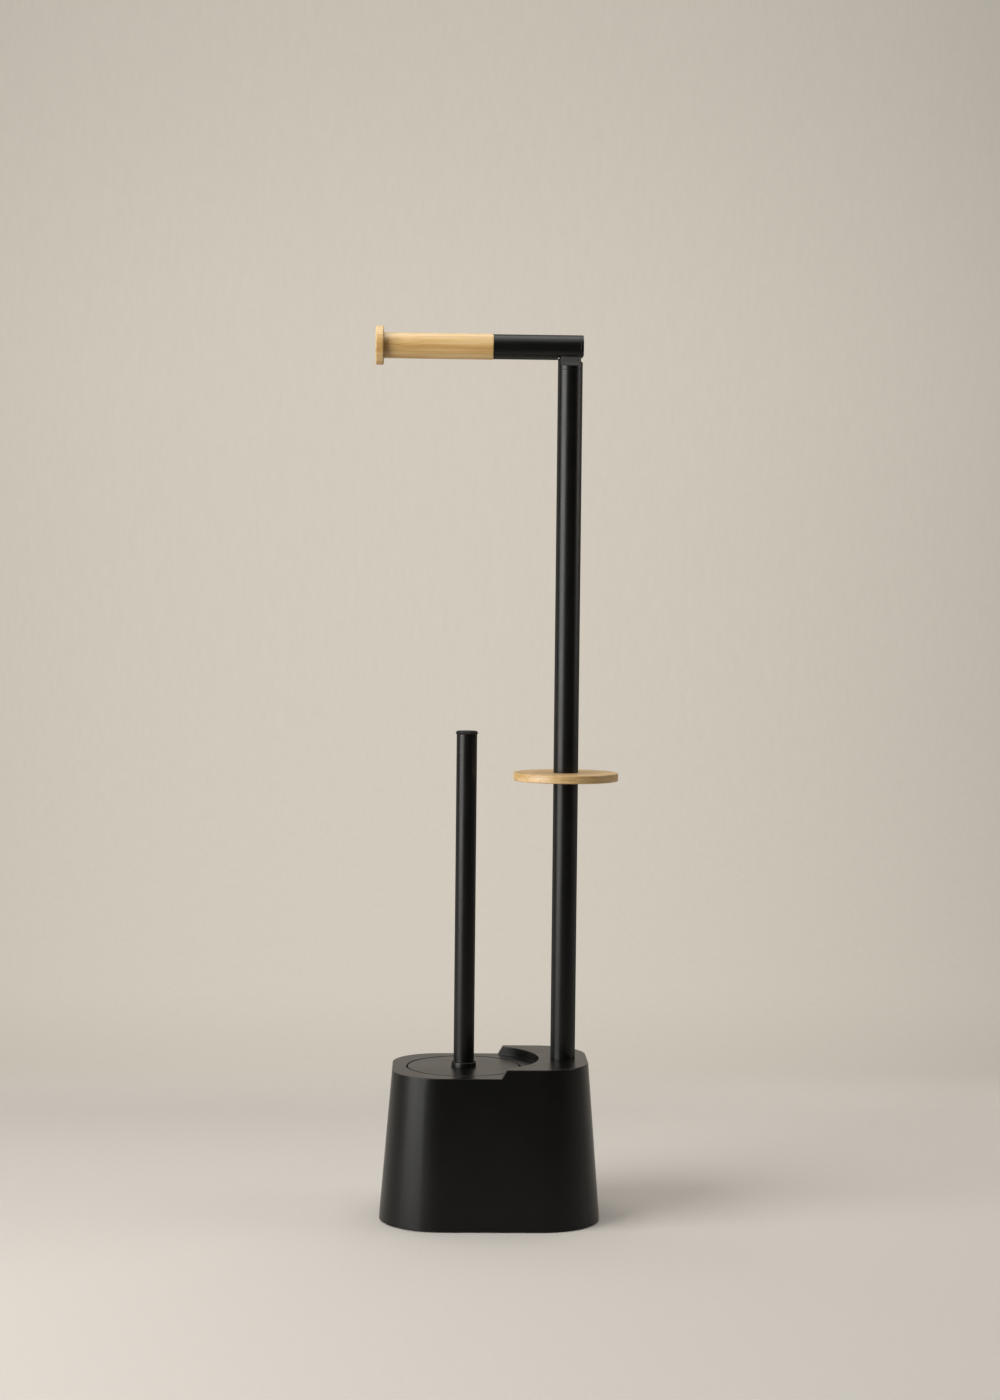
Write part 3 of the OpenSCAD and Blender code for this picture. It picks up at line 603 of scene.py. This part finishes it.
# Brush pot: a thin polypropylene cup that hangs by its flange in the base and lifts out to be rinsed.
# Natural moulded polypropylene in dark grey: slightly waxy, with a soft broad glint.
pot_plastic, tree, shader = finish("Moulded polypropylene, grey", Base_Color=linear("#4a4b4c"),
                                   Roughness=0.42, IOR=1.49)
grain(tree, shader, 2.5, 0.01)
BRUSH_X = -21.4
POT_LOW, POT_FLOOR = 7.5, 9.5
POT_FOOT_RADIUS, POT_RIM_RADIUS = 39.8, 42.4
POT_WALL = 1.6
FLANGE_LOW, FLANGE_TOP = 116.3, 117.9
FLANGE_RADIUS = 45.7
pot = turned("rinse_cup", [(0, POT_LOW), (POT_FOOT_RADIUS, POT_LOW, 3), (POT_RIM_RADIUS, FLANGE_LOW),
                           (FLANGE_RADIUS, FLANGE_LOW, 0.3), (FLANGE_RADIUS, FLANGE_TOP, 0.5),
                           (POT_RIM_RADIUS - POT_WALL, FLANGE_TOP, 0.5),
                           (POT_FOOT_RADIUS - POT_WALL, POT_FLOOR, 2.5), (0, POT_FLOOR)],
             pot_plastic, BRUSH_X)
fit(pot, "pot", "pot_plastic", "brush_pot")

# Brush head: a moulded white core with staggered rows of stapled tufts, all round it and under its tip.
# White polypropylene: a smooth, slightly waxy white.
core_plastic, tree, shader = finish("Moulded polypropylene, white", Base_Color=linear("#e8e7e2"),
                                    Roughness=0.4, IOR=1.49)
grain(tree, shader, 1.5, 0.01)
CORE_RADIUS = 9
CORE_LOW, CORE_SHOULDER, CORE_TOP = 27, 91, 97
ROD_BORE = 4.02
STEM_LOW = 77
core = turned("brush_core", [(0, CORE_LOW), (CORE_RADIUS, CORE_LOW, 4), (CORE_RADIUS, CORE_SHOULDER, 1),
                             (7.4, CORE_TOP, 1.2), (ROD_BORE, CORE_TOP), (ROD_BORE, STEM_LOW), (0, STEM_LOW)],
              core_plastic, BRUSH_X, steps=64)
fit(core, "brush", "white_plastic", "brush_head_core")

# Nylon filament: cool white, a little glossy, and each one slightly off its neighbours.
nylon, tree, shader = finish("Nylon filament", Roughness=0.36, IOR=1.53)
mottle = put(tree, "ShaderNodeTexNoise", {"Vector": place_of(tree), "Scale": 420, "Detail": 2})
toned(tree, shader, mottle, "#d9d8d2", "#f4f3ee")

FAN = 0.13  # radians: how far a filament strays round the core
DROOP = 0.07  # radians: how far it strays up and down
TIP_FALL = -1.38  # radians: how steeply the lowest row points down
FAN_ROWS = 5.0  # rows until the tufts stand straight out
ROOT_DEPTH = 0.94  # share of the core's radius at which a filament is stapled
ROOT_STRAY = 0.7
TRIM_SEED = 7
tree, size = new_tree("tufts", Rows="Int", Tufts_per_Row="Int", Filaments="Int", Core_Radius="Float",
                      Head_Radius="Float", Low="Float", First_Row="Float", Row_Pitch="Float",
                      Thickness="Float", Seed="Int")
tufts = put(tree, "ShaderNodeMath", {0: size["Rows"], 1: size["Tufts per Row"]}, operation="MULTIPLY")
total = put(tree, "ShaderNodeMath", {0: tufts, 1: size["Filaments"]}, operation="MULTIPLY")
points = put(tree, "GeometryNodePoints", {"Count": total})
number = put(tree, "GeometryNodeInputIndex")
tuft = put(tree, "ShaderNodeMath", {0: number, 1: size["Filaments"]}, operation="DIVIDE")
tuft = put(tree, "ShaderNodeMath", {0: tuft}, operation="FLOOR")
line = put(tree, "ShaderNodeMath", {0: tuft, 1: size["Tufts per Row"]}, operation="DIVIDE")
line = put(tree, "ShaderNodeMath", {0: line}, operation="FLOOR")
stagger = put(tree, "ShaderNodeMath", {0: line, 1: 0.5, 2: tuft}, operation="MULTIPLY_ADD")
round_share = put(tree, "ShaderNodeMath", {0: stagger, 1: size["Tufts per Row"]}, operation="DIVIDE")
angle = put(tree, "ShaderNodeMath", {0: round_share, 1: math.tau}, operation="MULTIPLY")
loose = put(tree, "FunctionNodeRandomValue", {0: (-1, -1, -1), 1: (1, 1, 1), "Seed": size["Seed"]},
            data_type="FLOAT_VECTOR")
stray = put(tree, "ShaderNodeSeparateXYZ", {0: loose})
twist = put(tree, "ShaderNodeMath", {0: stray.outputs["X"], 1: FAN, 2: angle}, operation="MULTIPLY_ADD")
fall = put(tree, "ShaderNodeMapRange",
           {"Value": line, "From Max": FAN_ROWS, "To Min": TIP_FALL, "To Max": 0.0},
           interpolation_type="SMOOTHSTEP")
fall = put(tree, "ShaderNodeMath", {0: stray.outputs["Y"], 1: DROOP, 2: fall}, operation="MULTIPLY_ADD")
out = put(tree, "ShaderNodeMath", {0: fall}, operation="COSINE")
down = put(tree, "ShaderNodeMath", {0: fall}, operation="SINE")
east = put(tree, "ShaderNodeMath", {0: twist}, operation="COSINE")
north = put(tree, "ShaderNodeMath", {0: twist}, operation="SINE")
way_x = put(tree, "ShaderNodeMath", {0: out, 1: east}, operation="MULTIPLY")
way_y = put(tree, "ShaderNodeMath", {0: out, 1: north}, operation="MULTIPLY")
way = put(tree, "ShaderNodeCombineXYZ", {0: way_x, 1: way_y, 2: down})
root_r = put(tree, "ShaderNodeMath", {0: out, 1: size["Core Radius"]}, operation="MULTIPLY")
root_r = put(tree, "ShaderNodeMath", {0: root_r, 1: ROOT_DEPTH}, operation="MULTIPLY")
root_z = put(tree, "ShaderNodeMath", {0: line, 1: size["Row Pitch"], 2: size["First Row"]},
             operation="MULTIPLY_ADD")
root_z = put(tree, "ShaderNodeMath", {0: stray.outputs["Z"], 1: ROOT_STRAY * MM, 2: root_z},
             operation="MULTIPLY_ADD")
root_x = put(tree, "ShaderNodeMath", {0: root_r, 1: east}, operation="MULTIPLY")
root_y = put(tree, "ShaderNodeMath", {0: root_r, 1: north}, operation="MULTIPLY")
root = put(tree, "ShaderNodeCombineXYZ", {0: root_x, 1: root_y, 2: root_z})
side_run = put(tree, "ShaderNodeMath", {0: size["Head Radius"], 1: root_r}, operation="SUBTRACT")
side_run = put(tree, "ShaderNodeMath", {0: side_run, 1: out}, operation="DIVIDE")
low_run = put(tree, "ShaderNodeMath", {0: root_z, 1: size["Low"]}, operation="SUBTRACT")
steep = put(tree, "ShaderNodeMath", {0: down}, operation="ABSOLUTE")
steep = put(tree, "ShaderNodeMath", {0: steep, 1: 0.05}, operation="MAXIMUM")
low_run = put(tree, "ShaderNodeMath", {0: low_run, 1: steep}, operation="DIVIDE")
long = put(tree, "ShaderNodeMath", {0: side_run, 1: low_run, 2: 0.004}, operation="SMOOTH_MIN")
trim = put(tree, "FunctionNodeRandomValue", {2: 0.93, 3: 0.99, "Seed": TRIM_SEED}, data_type="FLOAT")
long = put(tree, "ShaderNodeMath", {0: long, 1: trim.outputs[1]}, operation="MULTIPLY")
set_out = put(tree, "GeometryNodeSetPosition", {"Geometry": points, "Position": root})
thread = put(tree, "GeometryNodeMeshCylinder",
             {"Vertices": 3, "Side Segments": 2, "Radius": 0.5, "Depth": 1.0})
thread = put(tree, "GeometryNodeTransform", {"Geometry": thread, "Translation": (0, 0, 0.5)})
aim = put(tree, "FunctionNodeAlignRotationToVector", {"Vector": way}, axis="Z")
girth = put(tree, "ShaderNodeCombineXYZ", {0: size["Thickness"], 1: size["Thickness"], 2: long})
head = put(tree, "GeometryNodeInstanceOnPoints",
           {"Points": set_out, "Instance": thread, "Rotation": aim, "Scale": girth})
close_tree(tree, head, nylon)
bristles = grown("bristle_tufts", tree, nylon, smooth=80, Rows=15, Tufts_per_Row=14, Filaments=22,
                 Core_Radius=CORE_RADIUS * MM, Head_Radius=34 * MM, Low=13 * MM, First_Row=28.5 * MM,
                 Row_Pitch=3.9 * MM, Thickness=0.62 * MM, Seed=3)
bristles.data.transform(Matrix.Translation((BRUSH_X * MM, 0, 0)))
fit(bristles, "brush", "bristle", "bristles")

# Brush stem and lid nut: a zinc-plated threaded rod from the head into the handle, and a nut under the lid.
# The thread is a real helix with a pitch of 1.25 mm, as on an M8 rod.
STEM_HIGH = 141.7
STEM_RADIUS = 4
PITCH = 1.25
THREAD_DEEP = 0.55
END_FADE = 1.5
AROUND = 24
PER_TURN = 8
shape = bmesh.new()
levels = int((STEM_HIGH - STEM_LOW) / PITCH * PER_TURN)
rings = []
for k in range(levels + 1):
    z = STEM_LOW + (STEM_HIGH - STEM_LOW) * k / levels
    end_fade = min(1, (z - STEM_LOW) / END_FADE, (STEM_HIGH - z) / END_FADE)
    ring = []
    for j in range(AROUND):
        turn = (z / PITCH - j / AROUND) % 1
        slope = abs(2 * turn - 1)
        r = STEM_RADIUS - (THREAD_DEEP * (1 - slope) + (1 - end_fade) * THREAD_DEEP * slope)
        a = math.tau * j / AROUND
        ring.append(shape.verts.new(((BRUSH_X + r * math.cos(a)) * MM, r * math.sin(a) * MM, z * MM)))
    rings.append(ring)
for low, high in zip(rings, rings[1:]):
    for j in range(AROUND):
        n = (j + 1) % AROUND
        shape.faces.new((low[j], low[n], high[n], high[j]))
shape.faces.new(rings[0])
shape.faces.new(rings[-1])
bmesh.ops.recalc_face_normals(shape, faces=shape.faces)
mesh = bpy.data.meshes.new("threaded_stem")
shape.to_mesh(mesh)
shape.free()
stem = own("threaded_stem", mesh, zinc_steel)
fit(stem, "brush", "steel", "brush_stem")
nut = eased("lid_nut", "hex_nut", 0.5, zinc_steel)
fit(nut, "brush", "steel", "lid_nut")

# Lid and collar: the lid is a flat ABS disc that rests on the pot's flange, flush in the low deck.
# A coated collar seats the handle on it.
LID_TOP = 120.5
LID_RADIUS = 45.8
lid = turned("pot_lid", [(ROD_BORE, FLANGE_TOP), (LID_RADIUS, FLANGE_TOP, 0.9), (LID_RADIUS, LID_TOP, 1.1),
                         (ROD_BORE, LID_TOP)], shell_abs, BRUSH_X, steps=WIDE_STEPS)
fit(lid, "brush", "shell_plastic", "brush_lid")
COLLAR_RADIUS = 9.3
COLLAR_TOP = 123.7
collar = turned("handle_seat_ring", [(ROD_BORE, LID_TOP), (COLLAR_RADIUS, LID_TOP, 0.2),
                                     (COLLAR_RADIUS, COLLAR_TOP, 0.4), (ROD_BORE, COLLAR_TOP)],
                powder_coat, BRUSH_X)
fit(collar, "brush", "black_metal", "handle_collar")

# Handle: a drawn steel tube, powder-coated like the pole, screwed down on the collar.
# A coated cap with a softened rim is pressed into its top.
HANDLE_RADIUS = 8.3
HANDLE_WALL = 1.0
HANDLE_TOP = 391.4
handle = tube_at("handle_tube", BRUSH_X, COLLAR_TOP, HANDLE_TOP, HANDLE_RADIUS, HANDLE_WALL)
fit(handle, "brush", "black_metal", "brush_handle")
CAP_LOW, CAP_TOP = 383.4, 393
PLUG_RADIUS = 7.28
cap = turned("handle_cap", [(0, CAP_LOW), (PLUG_RADIUS, CAP_LOW, 0.4), (PLUG_RADIUS, HANDLE_TOP),
                            (HANDLE_RADIUS, HANDLE_TOP, 0.15), (HANDLE_RADIUS, CAP_TOP, 0.7), (0, CAP_TOP)],
             powder_coat, BRUSH_X)
fit(cap, "brush", "black_metal", "handle_top_cap")

# Studio: a sweep of warm grey-beige paper behind and under the stand.
# The paper's far part shows at its own tone, with a painted light falloff, to the camera and in reflections,
# its near part takes the shadow.
WALL_TONE = "#d2cabd"
FLOOR_TONE = "#beb9b2"
FOOT_OF_WALL = 0.93  # the share of its tone that the wall keeps where it meets the floor, as painted shade
paper, tree, shader = finish("Seamless backdrop paper", Roughness=0.9, IOR=1.4)
here = place_of(tree)
part = put(tree, "ShaderNodeSeparateXYZ", {0: here})
pulp = put(tree, "ShaderNodeVectorMath", {0: here, 1: (260, 260, 60)}, operation="MULTIPLY")
fleck = put(tree, "ShaderNodeTexNoise", {"Vector": pulp, "Scale": 1.0, "Detail": 2})
weave = put(tree, "ShaderNodeMapRange", {"Value": fleck, "To Min": 0.965, "To Max": 1.035})
# Painted light falloff: the wall is brightest a little left of the middle and falls off sideways and upwards.
painted_side_falloff = put(tree, "ShaderNodeMath", {0: part.outputs["X"], 1: 0.106}, operation="ADD")
painted_side_falloff = put(tree, "ShaderNodeMath", {0: painted_side_falloff, 1: 2.0}, operation="POWER")
painted_side_falloff = put(tree, "ShaderNodeMath", {0: painted_side_falloff, 1: -0.44, 2: 1.0}, operation="MULTIPLY_ADD")
painted_top_falloff = put(tree, "ShaderNodeMapRange",
           {"Value": part.outputs["Z"], "From Min": 0.7, "From Max": 1.3, "To Min": 1.0, "To Max": 0.86},
           interpolation_type="SMOOTHSTEP")
# Painted shade: the wall darkens where it meets the floor.
painted_foot_shade = put(tree, "ShaderNodeMapRange",
          {"Value": part.outputs["Z"], "From Min": 0.01, "From Max": 0.09, "To Min": FOOT_OF_WALL},
          interpolation_type="SMOOTHSTEP")
fade = put(tree, "ShaderNodeMath", {0: painted_side_falloff, 1: painted_top_falloff}, operation="MULTIPLY")
fade = put(tree, "ShaderNodeMath", {0: fade, 1: painted_foot_shade}, operation="MULTIPLY")
fade = put(tree, "ShaderNodeMath", {0: fade, 1: weave}, operation="MULTIPLY")
upright = put(tree, "ShaderNodeMath", {0: part.outputs["Z"], 1: 0.0002}, operation="GREATER_THAN")
side = put(tree, "ShaderNodeMath", {0: part.outputs["X"]}, operation="ABSOLUTE")
side = put(tree, "ShaderNodeMapRange",
           {"Value": side, "From Min": 0.6, "From Max": 0.95, "To Min": 1.0, "To Max": 0.0},
           interpolation_type="SMOOTHSTEP")
upright = put(tree, "ShaderNodeMath", {0: upright, 1: side}, operation="MULTIPLY")
fade = put(tree, "ShaderNodeMix", {0: upright, 2: FOOT_OF_WALL, 3: fade})
wall_tone = put(tree, "ShaderNodeVectorMath", {0: linear(WALL_TONE)[:3], "Scale": fade}, operation="SCALE")
glow = put(tree, "ShaderNodeEmission", {"Color": wall_tone})
ray = put(tree, "ShaderNodeLightPath").outputs
# Painted shade: for all rays but the camera's, the floor near the camera darkens to a fifth of its tone, so
# it shows darker in reflections and gives less bounce light.
near_floor_shade = put(tree, "ShaderNodeMapRange",
             {"Value": part.outputs["Y"], "From Min": -0.85, "From Max": -0.5, "To Min": 0.2})
near_floor_shade = put(tree, "ShaderNodeMath", {0: near_floor_shade, 1: ray["Is Camera Ray"]}, operation="MAXIMUM")
# Painted shade: the floor darkens towards its far left.
corner = put(tree, "ShaderNodeMath", {0: part.outputs["Y"], 1: part.outputs["X"]}, operation="SUBTRACT")
corner = put(tree, "ShaderNodeMapRange", {"Value": corner, "From Min": 0.1, "To Min": 1.0, "To Max": 0.8})
shade = put(tree, "ShaderNodeMath", {0: near_floor_shade, 1: weave}, operation="MULTIPLY")
shade = put(tree, "ShaderNodeMath", {0: shade, 1: corner}, operation="MULTIPLY")
floor_tone = put(tree, "ShaderNodeVectorMath", {0: linear(FLOOR_TONE)[:3], "Scale": shade}, operation="SCALE")
tree.links.new(floor_tone.outputs[0], shader.inputs["Base Color"])
high = put(tree, "ShaderNodeMapRange", {"Value": part.outputs["Z"], "From Min": 0.0005, "From Max": 0.02},
           interpolation_type="SMOOTHSTEP")
seen = put(tree, "ShaderNodeMath", {0: ray["Is Camera Ray"], 1: ray["Is Glossy Ray"]}, operation="MAXIMUM")
seen = put(tree, "ShaderNodeMath", {0: seen, 1: ray["Is Transmission Ray"]}, operation="MAXIMUM")
seen = put(tree, "ShaderNodeMath", {0: seen, 1: high}, operation="MULTIPLY")
away = put(tree, "ShaderNodeVectorMath", {0: here, 1: (1, 1, 0)}, operation="MULTIPLY")
away = put(tree, "ShaderNodeVectorMath", {0: away}, operation="LENGTH").outputs["Value"]
away = put(tree, "ShaderNodeMapRange", {"Value": away, "From Min": 0.7, "From Max": 1.05},
           interpolation_type="SMOOTHSTEP")
away = put(tree, "ShaderNodeMath", {0: away, 1: ray["Is Camera Ray"]}, operation="MULTIPLY")
seen = put(tree, "ShaderNodeMath", {0: seen, 1: away}, operation="MAXIMUM")
lit = put(tree, "ShaderNodeMixShader", {0: seen, 1: shader, 2: glow})
clear = put(tree, "ShaderNodeBsdfTransparent")
behind = put(tree, "ShaderNodeNewGeometry").outputs["Backfacing"]
front_only = put(tree, "ShaderNodeMixShader", {0: behind, 1: lit, 2: clear})
put(tree, "ShaderNodeOutputMaterial", {"Surface": front_only}).is_active_output = True

FLOOR_RADIUS = 5.0
SWEEP_START = 0.42
SWEEP_RADIUS = 0.42
SWEEP_STEPS = 32
SWEEP_LIFT = 0.0003  # keeps the sweep clear of the floor
WALL_HALF = 1.5
WALL_TOP = 1.7
# A hole under the pad, which the foot hides from above, lets light reach the underside.
HOLE_RADIUS = 43
HOLE_STEPS = 64
inner, outer, ring = [], [], []
for k in range(HOLE_STEPS):
    a = math.tau * (k + 0.5) / HOLE_STEPS
    east, north = math.cos(a), math.sin(a)
    inner.append((MM * (math.copysign(CORNER_X, east) + HOLE_RADIUS * east),
                  MM * (math.copysign(CORNER_Y, north) + HOLE_RADIUS * north), 0))
    outer.append((FLOOR_RADIUS * east, FLOOR_RADIUS * north, 0))
    n = (k + 1) % HOLE_STEPS
    ring.append((k, k + HOLE_STEPS, n + HOLE_STEPS, n))
mesh = bpy.data.meshes.new("studio_floor")
mesh.from_pydata(inner + outer, [], ring)
floor = own("studio_floor", mesh, paper)
profile = []
for k in range(SWEEP_STEPS + 1):
    a = math.pi / 2 * k / SWEEP_STEPS
    profile.append((SWEEP_START + SWEEP_RADIUS * math.sin(a), SWEEP_LIFT + SWEEP_RADIUS * (1 - math.cos(a))))
profile.append((SWEEP_START + SWEEP_RADIUS, WALL_TOP))
rows = [(x, y, z) for y, z in profile for x in (-WALL_HALF, WALL_HALF)]
mesh = bpy.data.meshes.new("studio_sweep")
mesh.from_pydata(rows, [], [(2 * k, 2 * k + 1, 2 * k + 3, 2 * k + 2) for k in range(len(profile) - 1)])
sweep = own("studio_sweep", mesh, paper)

# Room: dim for the object, brighter from below, pale where the camera or a reflection looks past the paper.
ROOM_BEHIND = "#cbc4b9"
ROOM_DIM, ROOM_BELOW = 0.05, 0.6
world = bpy.data.worlds.new("studio")
bpy.context.scene.world = world
world.use_nodes = True
tree = world.node_tree
tree.nodes.clear()
toward = put(tree, "ShaderNodeSeparateXYZ", {0: put(tree, "ShaderNodeTexCoord").outputs["Generated"]})
back_wall = put(tree, "ShaderNodeMapRange", {"Value": toward.outputs["Y"], "From Min": 0.3, "From Max": 0.8},
                interpolation_type="SMOOTHSTEP")
ray = put(tree, "ShaderNodeLightPath").outputs
seen = put(tree, "ShaderNodeMath", {0: ray["Is Glossy Ray"], 1: back_wall}, operation="MULTIPLY")
seen = put(tree, "ShaderNodeMath", {0: seen, 1: ray["Is Camera Ray"]}, operation="MAXIMUM")
seen = put(tree, "ShaderNodeMath", {0: seen, 1: ray["Is Transmission Ray"]}, operation="MAXIMUM")
under = put(tree, "ShaderNodeMapRange", {"Value": toward.outputs["Z"], "From Min": -0.15, "From Max": -0.4,
                                         "To Min": ROOM_DIM, "To Max": ROOM_BELOW})
room = put(tree, "ShaderNodeBackground", {"Color": linear("#f4efe8"), "Strength": under})
pale = put(tree, "ShaderNodeBackground", {"Color": linear(ROOM_BEHIND), "Strength": 1.0})
put(tree, "ShaderNodeOutputWorld", {"Surface": put(tree, "ShaderNodeMixShader", {0: seen, 1: room, 2: pale})})


# Lamps: a large soft window on the left, a weak fill on the right, a ceiling and a strip high over the front,
# which draws the light line along the arm.
def softbox(name, azimuth, height, distance, width, tall, power, colour, aim):
    """A rectangular lamp at an angle left of the camera, in degrees, aimed at a point. Sizes in metres."""
    lamp = bpy.data.lights.new(name, "AREA")
    lamp.shape = "RECTANGLE"
    lamp.size, lamp.size_y = width, tall
    lamp.energy = power
    lamp.color = linear(colour)[:3]
    holder = bpy.data.objects.new(name, lamp)
    a = math.radians(azimuth)
    holder.location = (-math.sin(a) * distance, -math.cos(a) * distance, height)
    holder.rotation_euler = (Vector(aim) - holder.location).to_track_quat("-Z", "Y").to_euler()
    bpy.context.scene.collection.objects.link(holder)


softbox("window_left", azimuth=60, height=0.95, distance=1.9, width=1.6, tall=1.9, power=68,
        colour="#fffefc", aim=(0, 0, 0.5))
softbox("fill_right", azimuth=-90, height=1.15, distance=2.0, width=1.0, tall=1.5, power=11,
        colour="#fffaf2", aim=(0, 0, 0.7))
softbox("ceiling", azimuth=180, height=2.5, distance=0.3, width=1.9, tall=1.6, power=30,
        colour="#fffefd", aim=(0, 0.15, 0))
softbox("front_strip", azimuth=0, height=2.3, distance=0.85, width=1.6, tall=0.6, power=5.5,
        colour="#fffefd", aim=(0, 0, 0.7))

# Camera: at the photograph's place, 2.1 m in front of the stand, a little to the left and 0.5 m up.
# It looks a little right and down, and has the photograph's own roll.
FOCAL_PIXELS = 2595.3
PHOTO_PIXELS = 1400
SENSOR = 36
STANDPOINT = (-0.0579, -2.0979, 0.4998)
YAW, PITCH_DOWN, ROLL = (math.radians(a) for a in (1.719, 2.219, 0.596))
flat = math.cos(PITCH_DOWN)
ahead = Vector((math.sin(YAW) * flat, math.cos(YAW) * flat, -math.sin(PITCH_DOWN)))
right = Vector((math.cos(YAW), -math.sin(YAW), 0))
above = right.cross(ahead)
rolled_right = right * math.cos(ROLL) + above * math.sin(ROLL)
rolled_up = above * math.cos(ROLL) - right * math.sin(ROLL)
lens = bpy.data.cameras.new("camera")
lens.lens = FOCAL_PIXELS / PHOTO_PIXELS * SENSOR
camera = bpy.data.objects.new("camera", lens)
bpy.context.scene.collection.objects.link(camera)
turn = Matrix((rolled_right, rolled_up, -ahead)).transposed()
camera.matrix_world = Matrix.Translation(STANDPOINT) @ turn.to_4x4()
bpy.context.scene.camera = camera
bpy.context.scene.view_settings.view_transform = "Standard"
